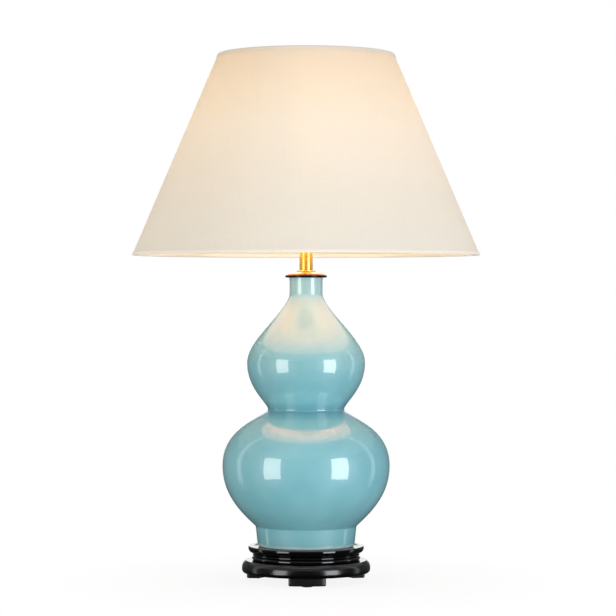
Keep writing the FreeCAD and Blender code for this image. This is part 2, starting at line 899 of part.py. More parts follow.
def make_lampholder():
    save("socket_cap", socket_cap())
    save("socket_set_screw", set_screw())
    save("socket_shell", socket_shell())
    save("socket_liner", socket_liner())
    save("socket_insulator", socket_insulator())
    save("screw_shell", screw_shell())
    save("centre_contact", centre_contact())
    save("terminal_screws", terminal_screw(knob_turn + 90), terminal_screw(knob_turn + 270))
    save("switch_spindle", switch_spindle())
    save("switch_knob", switch_knob())


# ---- Bulb ----
def bulb_side(inset):
    """Edges of the glass from its neck up to its crown."""
    neck = spot(bulb_neck_radius - inset, bulb_glass_z)
    belly = spot(bulb_radius - inset, bulb_centre_z)
    crown = spot(0, bulb_centre_z + bulb_radius - inset)
    shoulder = spot(0, bulb_centre_z) + heading(45) * (bulb_radius - inset)
    flare = neck + UP * bulb_neck_height
    rise = bulb_centre_z - flare.z
    return neck, crown, [
        line(neck, flare),
        curve(flare, flare + UP * (rise * 0.3), belly - UP * (rise * 0.45), belly),
        arc(belly, shoulder, crown),
    ]


def bulb_glass():
    neck, crown, outside = bulb_side(0)
    inner_neck, inner_crown, inside = bulb_side(bulb_glass_wall)
    edges = outside + [line(crown, inner_crown)] + inside + [line(inner_neck, neck)]
    return turned(Part.Wire(Part.__sortEdges__(edges)))


def bulb_cap():
    bottom = bulb_z + bulb_tip_height + bulb_heel_height
    top = bottom + bulb_cap_length
    step = bulb_glass_z
    inner = bulb_cap_radius - bulb_cap_wall
    glass = bulb_neck_radius + running_gap
    return turned_corners([
        (inner - 2.0, bottom, 0),
        (bulb_cap_radius, bottom, 0.4),
        (bulb_cap_radius, step - 1.0, 0),
        (glass + bulb_cap_wall, step - 0.5, 0),
        (glass + bulb_cap_wall, top, 0),
        (glass, top, 0),
        (glass, step, 0),
        (inner, step, 0),
        (inner, bottom + bulb_cap_wall, 0),
        (inner - 2.0, bottom + bulb_cap_wall, 0),
    ])


def bulb_insulator():
    bottom = bulb_z + bulb_tip_height
    top = bottom + bulb_heel_height
    return turned_corners([
        (0, bottom, 0),
        (bulb_tip_radius + 0.6, bottom, 0),
        (bulb_cap_radius - bulb_cap_wall - 1.0, top, 0),
        (0, top, 0),
    ])


def bulb_contact():
    return turned_corners([
        (0, bulb_z, 0),
        (bulb_tip_radius * 0.7, bulb_z, 0.4),
        (bulb_tip_radius, bulb_z + bulb_tip_height, 0),
        (0, bulb_z + bulb_tip_height, 0),
    ])


stem_top_z = bulb_glass_z + bulb_stem_length


def bulb_stem():
    """Glass stem that closes the neck and carries the filament's wires."""
    flare = bulb_neck_radius - bulb_glass_wall
    return turned_corners([
        (0, bulb_glass_z, 0),
        (flare, bulb_glass_z, 0),
        (bulb_stem_radius, bulb_glass_z + bulb_stem_flare, 4.0),
        (bulb_stem_radius * 0.6, stem_top_z - bulb_stem_flare, 4.0),
        (bulb_stem_radius * 0.4, stem_top_z, 0.5),
        (0, stem_top_z, 0),
    ]).cut(bulb_filament())


def bulb_filament():
    """Two lead wires joined by the glowing wire."""
    foot = spot(bulb_stem_radius * 0.4, stem_top_z - lead_depth)
    spread = spot(filament_radius, stem_top_z + lead_spread_rise)
    side = [
        (foot.x, foot.z, 0),
        (spread.x, spread.z, filament_bend_radius),
        (spread.x, bulb_centre_z, filament_bend_radius),
    ]
    mirrored = [(-x, z, radius) for x, z, radius in reversed(side)]
    path = rounded_path(side + mirrored, False)
    start = foot
    way = direction(foot, spread)
    return spun(wire_along(path, start, way, filament_wire_radius), knob_turn)


def make_bulb():
    save("bulb_glass", bulb_glass())
    save("bulb_cap", bulb_cap())
    save("bulb_insulator", bulb_insulator())
    save("bulb_contact", bulb_contact())
    save("bulb_stem", bulb_stem())
    save("bulb_filament", bulb_filament())


# ---- Shade ----
cone_stretch = math.sqrt(1 + shade_slope ** 2)   # thickness across the radius per thickness


def cone_radius(height, inset):
    """Radius of the shade's outer face at a height, moved in by a radial inset."""
    return shade_bottom_radius - shade_slope * (height - shade_z) - inset


def cone_shell(outer_inset, inner_inset, bottom, top):
    return turned_corners([
        (cone_radius(bottom, outer_inset), bottom, 0),
        (cone_radius(top, outer_inset), top, 0),
        (cone_radius(top, inner_inset), top, 0),
        (cone_radius(bottom, inner_inset), bottom, 0),
    ])


cloth_inset = binding_wall
lining_inset = cloth_inset + cloth_wall
shade_inside = lining_inset + lining_wall


def wire_ring(height):
    centre = cone_radius(height, shade_inside) - ring_wire_radius * cone_stretch
    return Part.makeTorus(centre, ring_wire_radius, spot(0, height))


top_ring_z = shade_top_z - binding_wall - ring_wire_radius - ring_edge_gap
bottom_ring_z = shade_z + binding_wall + ring_wire_radius + ring_edge_gap


def binding(edge, level, tail):
    """Cloth binding folded over a rim: outer band, fold and a short inner hem."""
    turn_in = shade_inside + 2 * ring_wire_radius * cone_stretch
    return turned_corners([
        (cone_radius(edge, 0), edge, 0.2),
        (cone_radius(tail, 0), tail, 0),
        (cone_radius(tail, binding_wall), tail, 0),
        (cone_radius(level, binding_wall), level, 0),
        (cone_radius(level, turn_in), level, 0),
        (cone_radius(edge, turn_in), edge, 0.2),
    ])


def spider():
    ring_middle = cone_radius(top_ring_z, shade_inside) - ring_wire_radius * cone_stretch
    hub_middle = hub_z + hub_thickness / 2
    way = direction(spot(ring_middle - spider_bend_width, hub_middle), spot(ring_middle, top_ring_z))
    tip = spot(ring_middle, top_ring_z) - way * (ring_wire_radius + arm_tip_gap)
    path = rounded_path([
        (hub_radius - arm_root, hub_middle, 0),
        (ring_middle - spider_bend_width, hub_middle, spider_bend_rounding),
        (tip.x, tip.z, 0),
    ], False)
    arm = wire_along(path, spot(hub_radius - arm_root, hub_middle), Vector(1, 0, 0), spider_wire_radius)
    hub = rod(hub_radius, hub_z, finial_z)
    arms = [spun(arm, spider_turn + 360 / spider_arms * n) for n in range(spider_arms)]
    hole = rod(stud_thread_radius + loose_gap, hub_z - cut_past, finial_z + cut_past)
    faces = tube(stud_thread_radius, hub_face_width, finial_z, finial_z + cut_past)
    under = tube(stud_thread_radius, hub_face_width, hub_z - cut_past, hub_z)
    return hub.fuse(arms).cut([hole, faces, under]).removeSplitter()


def make_shade():
    bottom = shade_z + binding_wall
    top = shade_top_z - binding_wall
    save("shade_fabric", cone_shell(cloth_inset, lining_inset, bottom, top))
    save("shade_liner", cone_shell(lining_inset, shade_inside, bottom, top))
    save("shade_top_ring", wire_ring(top_ring_z))
    save("shade_bottom_ring", wire_ring(bottom_ring_z))
    save("shade_top_binding", binding(shade_top_z, top, shade_top_z - binding_height))
    save("shade_bottom_binding", binding(shade_z, bottom, shade_z + binding_height))
    save("shade_spider", spider())


# ---- Finial ----
def finial():
    bore = stud_thread_radius + running_gap
    bore_top = hub_z + stud_thread_length + loose_gap
    ball_z = finial_z + finial_ball_share * finial_height
    waist_z = finial_z + finial_waist_share * finial_height
    top = finial_z + finial_height
    neck = spot(finial_neck_radius, waist_z)
    ball = spot(finial_ball_radius, ball_z)
    base = spot(finial_base_radius, finial_z)
    brow = spot(finial_base_radius, finial_z + finial_base_height)
    edges = [
        line(spot(bore, finial_z), base),
        line(base, brow),
        curve(brow, spot(neck.x, brow.z + 0.6), neck - UP * 1.4, neck),
        curve(neck, neck + UP * 2.0, ball - UP * 3.4, ball),
        curve(ball, ball + UP * 4.4, spot(2.6, top), spot(0, top)),
        line(spot(0, top), spot(0, bore_top)),
        line(spot(0, bore_top), spot(bore, bore_top)),
        line(spot(bore, bore_top), spot(bore, finial_z)),
    ]
    return turned(Part.Wire(edges))


os.makedirs("parts", exist_ok=True)
make_feet()
save("stand_apron", apron())
save("stand_collar", collar())
save("cord_grommet", cord_grommet())
save("vase_seat_pad", seat_pad())
save("vase", vase())
save("neck_plug", neck_plug())
save("neck_cap", neck_cap())
save("stem_collar", stem_collar())
save("stem_tube", stem_tube())
make_rod()
make_harp()
make_lampholder()
make_bulb()
make_shade()
save("finial", finial())
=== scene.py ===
import json
import math

import bmesh
import bpy
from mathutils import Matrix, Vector, noise


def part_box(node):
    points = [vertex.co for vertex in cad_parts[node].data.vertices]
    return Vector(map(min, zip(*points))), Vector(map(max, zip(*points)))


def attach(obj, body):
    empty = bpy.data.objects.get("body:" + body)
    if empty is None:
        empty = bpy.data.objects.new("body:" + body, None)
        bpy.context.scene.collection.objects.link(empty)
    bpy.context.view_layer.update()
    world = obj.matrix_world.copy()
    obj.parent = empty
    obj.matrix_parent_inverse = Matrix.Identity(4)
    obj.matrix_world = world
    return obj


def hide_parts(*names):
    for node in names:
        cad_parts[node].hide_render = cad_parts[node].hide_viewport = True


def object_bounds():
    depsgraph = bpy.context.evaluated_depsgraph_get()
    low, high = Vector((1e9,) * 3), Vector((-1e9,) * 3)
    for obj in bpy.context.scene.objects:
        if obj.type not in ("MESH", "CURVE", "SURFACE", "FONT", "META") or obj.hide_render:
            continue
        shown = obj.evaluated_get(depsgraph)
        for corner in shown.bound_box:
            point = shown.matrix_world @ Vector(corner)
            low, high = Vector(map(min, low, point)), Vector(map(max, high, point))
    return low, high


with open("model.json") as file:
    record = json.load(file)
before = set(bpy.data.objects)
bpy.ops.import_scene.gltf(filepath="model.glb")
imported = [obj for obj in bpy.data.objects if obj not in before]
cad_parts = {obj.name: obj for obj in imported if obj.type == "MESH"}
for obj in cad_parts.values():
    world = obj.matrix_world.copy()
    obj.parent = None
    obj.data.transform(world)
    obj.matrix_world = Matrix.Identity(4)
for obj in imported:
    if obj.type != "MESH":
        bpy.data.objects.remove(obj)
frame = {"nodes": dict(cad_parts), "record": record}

# Double gourd table lamp: finishes, cloth shade, glazed vase and fine threads around
# the fixed frame. Everything is in metres, the lamp's axis is Z and its front faces -Y.

MM = 0.001
TAU = math.tau
FRONT = -TAU / 4         # angle of the lamp's front about its axis
BACK = TAU / 4

cad_low, cad_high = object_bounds()


# ---- Meshes ----
def new_mesh(name, verts, faces, sharp=35):
    mesh = bpy.data.meshes.new(name)
    mesh.from_pydata(verts, [], faces)
    shape = bmesh.new()
    shape.from_mesh(mesh)
    bmesh.ops.remove_doubles(shape, verts=shape.verts, dist=0.0002 * MM)
    bmesh.ops.dissolve_degenerate(shape, edges=shape.edges, dist=0.0002 * MM)
    shape.to_mesh(mesh)
    shape.free()
    mesh.shade_smooth()
    mesh.set_sharp_from_angle(angle=math.radians(sharp))
    return mesh


def lathe(name, rows, segments=192, start=0.0, sweep=TAU, closed=True):
    """Rows of (radius, height), or functions of the angle that give them, turned about Z.

    The outside is drawn upwards. A closed outline joins its last row to its first.
    """
    whole = abs(sweep - TAU) < 1e-9
    columns = segments if whole else segments + 1
    verts = []
    for row in rows:
        for column in range(columns):
            angle = start + sweep * column / segments
            radius, height = row(angle) if callable(row) else row
            verts.append((radius * math.cos(angle), radius * math.sin(angle), height))
    faces = []
    for index in range(len(rows) if closed else len(rows) - 1):
        low = index * columns
        high = (index + 1) % len(rows) * columns
        for column in range(segments):
            after = (column + 1) % columns
            faces.append((low + column, low + after, high + after, high + column))
    return new_mesh(name, verts, faces)


def add_piece(mesh, body, slot, *nodes, material=None):
    """Shows a mesh as a piece that rides a body and stands for CAD nodes."""
    piece = bpy.data.objects.new(mesh.name, mesh)
    bpy.context.scene.collection.objects.link(piece)
    mesh.materials.append(material or FINISH[slot])
    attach(piece, body)
    if nodes:
        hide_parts(*nodes)
    return piece


# ---- Outlines: points are (radius, height) ----
def spot(radius, height):
    return Vector((radius, height))


def way(degrees):
    return spot(math.cos(math.radians(degrees)), math.sin(math.radians(degrees)))


def straight(start, end, count):
    return [start.lerp(end, n / count) for n in range(count)]


def bezier(start, first, second, end, count=40):
    """Points of a cubic curve, its end left out."""
    points = []
    for n in range(count):
        t = n / count
        s = 1 - t
        points.append(start * s ** 3 + first * (3 * s * s * t) + second * (3 * s * t * t) + end * t ** 3)
    return points


def held_curve(start, leaving, end, arriving, hold, count=56):
    """Curve that keeps the direction of each end for a share of its rise."""
    rise = end.y - start.y
    return bezier(start, start + leaving * (hold[0] * rise), end - arriving * (hold[1] * rise), end, count)


def rounded(corner, arriving, leaving, radius, count=10):
    """Points of the arc that rounds a corner between two directions."""
    half = arriving.angle(leaving) / 2
    reach = radius * math.tan(half)
    start = corner - arriving * reach
    end = corner + leaving * reach
    turn = 1 if arriving.x * leaving.y > arriving.y * leaving.x else -1
    centre = start + spot(-arriving.y, arriving.x) * (turn * radius)
    spoke = start - centre
    points = []
    for n in range(count + 1):
        angle = turn * 2 * half * n / count
        cosine, sine = math.cos(angle), math.sin(angle)
        points.append(centre + spot(spoke.x * cosine - spoke.y * sine, spoke.x * sine + spoke.y * cosine))
    points[-1] = end
    return points


# ---- Node trees ----
class Painter:
    """Builds one material. Patterns are placed in the lamp's own frame, in metres."""

    def __init__(self, name, **values):
        self.material = bpy.data.materials.new(name)
        self.material.use_nodes = True
        self.tree = self.material.node_tree
        self.shader = self.tree.nodes["Principled BSDF"]
        self.surface = self.tree.nodes["Material Output"].inputs["Surface"]
        self.place = self.add("TexCoord").outputs["Object"]
        self.heights = None
        self.set(**values)

    def add(self, kind, inputs=None, **settings):
        made = self.tree.nodes.new("ShaderNode" + kind)
        for name, value in settings.items():
            setattr(made, name, value)
        for name, value in (inputs or {}).items():
            self.feed(made.inputs[name], value)
        return made

    def feed(self, socket, value):
        if isinstance(value, bpy.types.NodeSocket):
            self.tree.links.new(value, socket)
        else:
            socket.default_value = value

    def set(self, **values):
        """Principled sockets by name, with _ for a space."""
        for name, value in values.items():
            if name.endswith("color") and not isinstance(value, bpy.types.NodeSocket):
                value = (*value, 1.0)
            self.feed(self.shader.inputs[name.replace("_", " ").title().replace("Ior", "IOR")], value)

    def maths(self, operation, first, second=0.0, third=0.0):
        made = self.add("Math", operation=operation)
        for socket, value in zip(made.inputs, (first, second, third)):
            self.feed(socket, value)
        return made.outputs[0]

    def stretched(self, x, y, z, turn=0.0, source=None):
        """The place, scaled along each axis."""
        return self.add("Mapping", {"Vector": source or self.place, "Scale": (x, y, z),
                                    "Rotation": (0.0, 0.0, turn)}).outputs[0]

    def noise(self, scale, detail=3.0, vector=None, roughness=0.5, distortion=0.0):
        return self.add("TexNoise", {"Vector": vector or self.place, "Scale": scale, "Detail": detail,
                                     "Roughness": roughness, "Distortion": distortion}).outputs["Fac"]

    def fit(self, value, low, high, out_low=0.0, out_high=1.0):
        """A value moved from one range to another, kept inside it."""
        return self.add("MapRange", {"Value": value, "From Min": low, "From Max": high,
                                     "To Min": out_low, "To Max": out_high}).outputs[0]

    def blend(self, factor, first, second, kind="MIX"):
        made = self.add("Mix", data_type="RGBA", blend_type=kind)
        self.feed(made.inputs["Factor"], factor)
        colours = [s for s in made.inputs if s.type == "RGBA"]
        for socket, value in zip(colours, (first, second)):
            self.feed(socket, value if isinstance(value, bpy.types.NodeSocket) else (*value, 1.0))
        return [s for s in made.outputs if s.type == "RGBA"][0]

    def height(self):
        return self.add("SeparateXYZ", {"Vector": self.place}).outputs["Z"]

    def reach(self):
        """Distance from the lamp's axis."""
        flat = self.add("VectorMath", {0: self.place, 1: (1.0, 1.0, 0.0)}, operation="MULTIPLY").outputs[0]
        return self.add("VectorMath", {0: flat}, operation="LENGTH").outputs["Value"]

    def turn(self):
        """Angle away from the lamp's front, to either side."""
        parts = self.add("SeparateXYZ", {"Vector": self.place})
        away = self.maths("MULTIPLY", parts.outputs["Y"], -1.0)
        return self.maths("ABSOLUTE", self.maths("ARCTAN2", parts.outputs["X"], away))

    def glow(self, colour, strength):
        """Leaves nothing but an even glow."""
        light = self.add("Emission", {"Color": colour, "Strength": strength})
        self.tree.links.new(light.outputs[0], self.surface)
        self.material.cycles.emission_sampling = "NONE"

    def mix_over(self, factor, other):
        """Lays another shader over the finished one."""
        both = self.add("MixShader", {"Fac": factor})
        self.tree.links.new(self.surface.links[0].from_socket, both.inputs[1])
        self.tree.links.new(other, both.inputs[2])
        self.tree.links.new(both.outputs[0], self.surface)

    def emboss(self, height, distance, strength=1.0):
        """Adds a bump of this depth in metres under those made before it."""
        inputs = {"Height": height, "Distance": distance, "Strength": strength}
        if self.heights is not None:
            inputs["Normal"] = self.heights
        self.heights = self.add("Bump", inputs).outputs[0]
        self.feed(self.shader.inputs["Normal"], self.heights)


def quiet(material):
    """A glowing surface that is seen, but isn't sampled as a lamp."""
    material.cycles.emission_sampling = "NONE"
    return material


# ---- Finishes, one function for each material slot ----
def glaze():
    """Clear gloss glaze over pale teal, thinner at the foot's edge and lip, with pooling at the waist; paler
    towards the upper belly and neck as painted light from the lit shade above, and darker in the waist's
    crease as painted shade.
    """
    teal = (0.196, 0.476, 0.532)
    deep = (0.118, 0.370, 0.438)
    light = (0.264, 0.536, 0.580)
    # thin: a pale glaze colour, for the thin glaze at the foot's edge and for painted light towards the top.
    thin = (0.50, 0.62, 0.62)
    pooled_glaze_and_crease_shade = (0.085, 0.300, 0.380)
    paint = Painter("glaze_finish", roughness=0.42, ior=1.6, coat_weight=1.0, coat_roughness=0.028,
                    coat_ior=1.62)
    z = paint.height()
    cloud = paint.noise(9.0, 4.0, roughness=0.6)
    drift = paint.noise(28.0, 3.0, paint.stretched(1.0, 1.0, 0.25))
    tint = paint.blend(paint.fit(cloud, 0.35, 0.65), deep, light)
    tint = paint.blend(0.55, tint, teal)
    tint = paint.blend(paint.fit(drift, 0.3, 0.75, 0.0, 0.16), tint, deep)
    # Darker in the waist's crease: partly pooling glaze, partly painted shade where the crease shades itself.
    crease = paint.fit(paint.maths("ABSOLUTE", paint.maths("SUBTRACT", z, waist_z)), 0.0, 12 * MM, 0.9, 0.0)
    tint = paint.blend(crease, tint, pooled_glaze_and_crease_shade)
    edge = paint.maths("ADD", z, paint.fit(paint.noise(60.0, 2.0), 0.3, 0.7, -1.2 * MM, 1.2 * MM))
    tint = paint.blend(paint.fit(edge, vase_z + 2.5 * MM, vase_z + 5.5 * MM, 0.8, 0.0), tint, thin)
    # Painted light: paler towards the upper belly, standing in for the lit shade's glow reflected there.
    tint = paint.blend(paint.fit(z, waist_z + 35 * MM, waist_z + 75 * MM, 0.0, 0.14), tint, thin)
    # Paler towards the lip: thinner glaze there, with painted light from the lit shade above.
    tint = paint.blend(paint.fit(z, vase_top_z - 34 * MM, vase_top_z - 8 * MM, 0.0, 0.35), tint, thin)
    speck = paint.add("TexVoronoi", {"Vector": paint.place, "Scale": 140.0}, feature="F1").outputs["Distance"]
    tint = paint.blend(paint.fit(speck, 0.03, 0.07, 0.35, 0.0), tint, deep)
    paint.set(base_color=tint)
    paint.emboss(paint.noise(22.0, 2.0), 0.35 * MM, 0.25)
    paint.emboss(paint.noise(260.0, 2.0), 0.03 * MM, 0.35)
    return paint.material


def lacquered_wood():
    """Black lacquer, glossy on the collar and duller below, with brown wood where edges are rubbed."""
    black = (0.0016, 0.0016, 0.0018)
    feet_grey = (0.010, 0.010, 0.010)
    brown = (0.028, 0.007, 0.005)
    paint = Painter("lacquered_wood_finish", roughness=0.3, specular_ior_level=0.0, coat_weight=1.0,
                    coat_ior=1.6)
    z = paint.height()
    grain = paint.noise(90.0, 5.0, paint.stretched(1.0, 0.12, 1.0))
    cloud = paint.noise(22.0, 3.0)
    rubbed = paint.fit(paint.add("NewGeometry").outputs["Pointiness"], 0.54, 0.64)
    rubbed = paint.maths("MULTIPLY", rubbed, paint.fit(cloud, 0.45, 0.70, 0.0, 0.7))
    # The feet, below their top, are a lighter grey than the black above.
    tint = paint.blend(paint.fit(z, foot_top_z - 0.5 * MM, foot_top_z, 1.0, 0.0), black, feet_grey)
    dull = paint.maths("ADD", paint.fit(z, apron_top_z - 0.5 * MM, apron_top_z - 0.2 * MM, 0.11, 0.0),
                       paint.fit(paint.noise(60.0, 3.0), 0.3, 0.7, 0.06, 0.12))
    paint.set(base_color=paint.blend(rubbed, tint, brown), coat_roughness=dull)
    paint.emboss(grain, 0.05 * MM, 0.3)
    paint.emboss(paint.noise(420.0, 2.0, paint.stretched(0.08, 0.08, 1.0)), 0.01 * MM, 0.3)
    return paint.material


def brass():
    """Lacquered brass with faint turning lines, with a painted pale reflection on the cap and a painted dark
    reflection on its rolled edge.
    """
    gold = (0.86, 0.56, 0.09)
    tarnish = (0.58, 0.34, 0.07)
    pale_reflection = (0.62, 0.50, 0.29)
    dark_reflection = (0.020, 0.014, 0.009)
    paint = Painter("brass_finish", metallic=1.0, coat_weight=0.6, coat_roughness=0.08)
    lines = paint.noise(1500.0, 2.0, paint.stretched(0.02, 0.02, 1.0))
    smear = paint.noise(70.0, 4.0, roughness=0.65)
    above = paint.fit(paint.height(), cap_top_z, cap_top_z + 2 * MM)
    below = paint.maths("SUBTRACT", 1.0, above)
    tint = paint.blend(paint.fit(smear, 0.55, 0.85, 0.0, 0.6), gold, tarnish)
    # Painted reflection: the cap below its top is coloured pale.
    tint = paint.blend(below, tint, pale_reflection)
    # Painted reflection: the cap's rolled edge is coloured near black.
    rolled = paint.fit(paint.reach(), cap_radius - 2.2 * MM, cap_radius - 1.2 * MM)
    tint = paint.blend(paint.maths("MULTIPLY", below, rolled), tint, dark_reflection)
    paint.set(base_color=tint,
              roughness=paint.maths("MULTIPLY", paint.fit(smear, 0.3, 0.8, 0.24, 0.34),
                                    paint.maths("MULTIPLY_ADD", above, 0.6, 0.4)))
    paint.emboss(lines, 0.006 * MM, 0.5)
    return paint.material


def steel():
    """Bright zinc plate, a little cloudy."""
    paint = Painter("steel_finish", metallic=1.0)
    cloud = paint.noise(180.0, 4.0, roughness=0.6)
    paint.set(base_color=paint.blend(paint.fit(cloud, 0.35, 0.7), (0.62, 0.62, 0.64), (0.48, 0.48, 0.47)),
              roughness=paint.fit(cloud, 0.3, 0.7, 0.24, 0.42))
    paint.emboss(paint.noise(1400.0, 2.0, paint.stretched(1.0, 0.05, 1.0)), 0.008 * MM, 0.5)
    return paint.material


def nickel():
    """Satin pressed aluminium of the bulb's cap."""
    paint = Painter("nickel_finish", metallic=1.0)
    cloud = paint.noise(220.0, 3.0)
    paint.set(base_color=paint.blend(cloud, (0.74, 0.73, 0.71), (0.58, 0.57, 0.55)),
              roughness=paint.fit(cloud, 0.3, 0.7, 0.26, 0.40))
    paint.emboss(cloud, 0.02 * MM, 0.3)
    return paint.material


def solder():
    paint = Painter("solder_finish", metallic=0.9)
    lumps = paint.noise(420.0, 4.0)
    paint.set(base_color=paint.blend(lumps, (0.42, 0.42, 0.43), (0.62, 0.62, 0.62)),
              roughness=paint.fit(lumps, 0.3, 0.7, 0.35, 0.6))
    paint.emboss(lumps, 0.12 * MM, 0.6)
    return paint.material


def tungsten():
    """The glowing wire between its two dull leads."""
    paint = Painter("tungsten_finish", metallic=1.0, roughness=0.45)
    hot = paint.fit(paint.height(), bulb_centre_z - 8 * MM, bulb_centre_z - 1 * MM, 0.0, 12.0)
    grain = paint.noise(900.0, 2.0)
    paint.set(base_color=paint.blend(grain, (0.30, 0.30, 0.32), (0.45, 0.44, 0.44)),
              emission_color=(1.0, 0.45, 0.12), emission_strength=hot)
    return quiet(paint.material)


def vitrite():
    """Black fired glass round the bulb's contact."""
    paint = Painter("vitrite_finish", roughness=0.16, ior=1.55)
    swirl = paint.noise(300.0, 3.0, distortion=1.0)
    paint.set(base_color=paint.blend(swirl, (0.010, 0.010, 0.014), (0.035, 0.033, 0.045)))
    paint.emboss(swirl, 0.05 * MM, 0.3)
    return paint.material


def black_plastic():
    """Moulded black phenolic, slightly mottled."""
    paint = Painter("black_plastic_finish", ior=1.55)
    mottle = paint.noise(160.0, 4.0)
    paint.set(base_color=paint.blend(mottle, (0.010, 0.009, 0.008), (0.030, 0.026, 0.022)),
              roughness=paint.fit(mottle, 0.3, 0.7, 0.20, 0.34))
    paint.emboss(paint.noise(900.0, 2.0), 0.015 * MM, 0.3)
    return paint.material


def rubber():
    """Matt black rubber with a bloom."""
    paint = Painter("rubber_finish")
    bloom = paint.noise(130.0, 4.0)
    paint.set(base_color=paint.blend(bloom, (0.012, 0.012, 0.012), (0.040, 0.040, 0.038)),
              roughness=paint.fit(bloom, 0.3, 0.7, 0.60, 0.82))
    paint.emboss(paint.noise(1600.0, 2.0), 0.02 * MM, 0.5)
    return paint.material


def fibre():
    """Pressed brown insulating paper."""
    paint = Painter("fibre_finish", roughness=0.85)
    strands = paint.noise(500.0, 5.0, paint.stretched(1.0, 1.0, 0.2))
    paint.set(base_color=paint.blend(strands, (0.20, 0.11, 0.05), (0.36, 0.23, 0.12)))
    paint.emboss(strands, 0.05 * MM, 0.6)
    return paint.material


def felt():
    """Black felt: short matted hairs."""
    paint = Painter("felt_finish", roughness=1.0, sheen_weight=0.5, sheen_roughness=0.6)
    hairs = paint.noise(900.0, 6.0, roughness=0.75, distortion=1.5)
    paint.set(base_color=paint.blend(hairs, (0.006, 0.006, 0.006), (0.045, 0.045, 0.045)))
    paint.emboss(hairs, 0.3 * MM, 0.9)
    return paint.material


def frosted_glass():
    """Frosted bulb, lit from its middle and dimmer towards its neck."""
    paint = Painter("frosted_glass_finish", roughness=0.35, ior=1.5)
    frost = paint.noise(700.0, 3.0)
    glow = paint.fit(paint.height(), bulb_centre_z - 52 * MM, bulb_centre_z - 8 * MM, 0.5, 6.0)
    paint.set(base_color=paint.blend(frost, (0.80, 0.78, 0.74), (0.90, 0.88, 0.85)),
              emission_color=(1.0, 0.74, 0.44), emission_strength=glow)
    paint.emboss(frost, 0.02 * MM, 0.4)
    return quiet(paint.material)


def clear_glass():
    paint = Painter("clear_glass_finish", base_color=(0.93, 0.97, 0.96), roughness=0.02, ior=1.5,
                    transmission_weight=1.0)
    paint.emboss(paint.noise(160.0, 2.0), 0.05 * MM, 0.3)
    return paint.material


def white_steel():
    """White coated wire."""
    paint = Painter("white_steel_finish", ior=1.5)
    coat = paint.noise(300.0, 3.0)
    paint.set(base_color=paint.blend(coat, (0.78, 0.77, 0.73), (0.84, 0.83, 0.80)),
              roughness=paint.fit(coat, 0.3, 0.7, 0.30, 0.46))
    paint.emboss(coat, 0.04 * MM, 0.4)
    return paint.material


def let_light_through(paint, colour, share):
    """Mixes light from the far side into the finished surface, as thin cloth or film shows it."""
    paint.mix_over(share, paint.add("BsdfTranslucent", {"Color": (*colour, 1.0)}).outputs[0])


def woven(paint, thread):
    """Height of a plain weave in the cloth's own flat pattern, whose UVs are metres."""
    flat = paint.add("UVMap").outputs["UV"]
    parts = paint.add("SeparateXYZ", {"Vector": flat})
    drift = paint.noise(6.0, 2.0, flat)
    across = paint.maths("MULTIPLY_ADD", parts.outputs["X"], TAU / (2 * thread), drift)
    along = paint.maths("MULTIPLY_ADD", parts.outputs["Y"], TAU / (2 * thread), drift)
    over = paint.maths("MULTIPLY", paint.maths("SINE", across), paint.maths("SINE", along))
    warp = paint.maths("ABSOLUTE", paint.maths("SINE", across))
    weft = paint.maths("ABSOLUTE", paint.maths("SINE", along))
    picked = paint.maths("GREATER_THAN", over, 0.0)
    lifted = paint.maths("ADD", paint.maths("MULTIPLY", warp, picked),
                         paint.maths("MULTIPLY", weft, paint.maths("SUBTRACT", 1.0, picked)))
    return flat, lifted


def shade_cloth(name="shade_cloth_finish", pale=(0.815, 0.820, 0.785), through=0.24):
    """Off-white plain weave, with painted shade that darkens and yellows it towards the top; light comes
    through it.
    """
    thread = 0.45 * MM
    grey = (0.700, 0.660, 0.610)
    painted_top_shade = (0.690, 0.610, 0.510)
    paint = Painter(name, roughness=0.92, sheen_weight=0.15, sheen_roughness=0.5)
    flat, lifted = woven(paint, thread)
    slub_across = paint.noise(520.0, 2.0, paint.stretched(0.05, 1.2, 1.0, source=flat))
    slub_along = paint.noise(520.0, 2.0, paint.stretched(1.2, 0.05, 1.0, source=flat))
    slubs = paint.maths("MAXIMUM", slub_across, slub_along)
    mottle = paint.noise(14.0, 4.0, flat)
    tint = paint.blend(paint.fit(slubs, 0.50, 0.78, 0.0, 0.24), pale, grey)
    tint = paint.blend(paint.fit(mottle, 0.3, 0.7, 0.0, 0.08), tint, grey)
    # Painted shade: darker and yellower towards the top, where the lamp's glow falls off.
    tint = paint.blend(paint.fit(paint.height(), bulb_centre_z, shade_high, 0.0, 0.7), tint, painted_top_shade)
    paint.set(base_color=tint)
    paint.emboss(slubs, 0.08 * MM, 0.4)
    paint.emboss(lifted, 0.08 * MM, 0.5)
    if through > 0:
        let_light_through(paint, (0.77, 0.575, 0.16), through)
    return paint.material


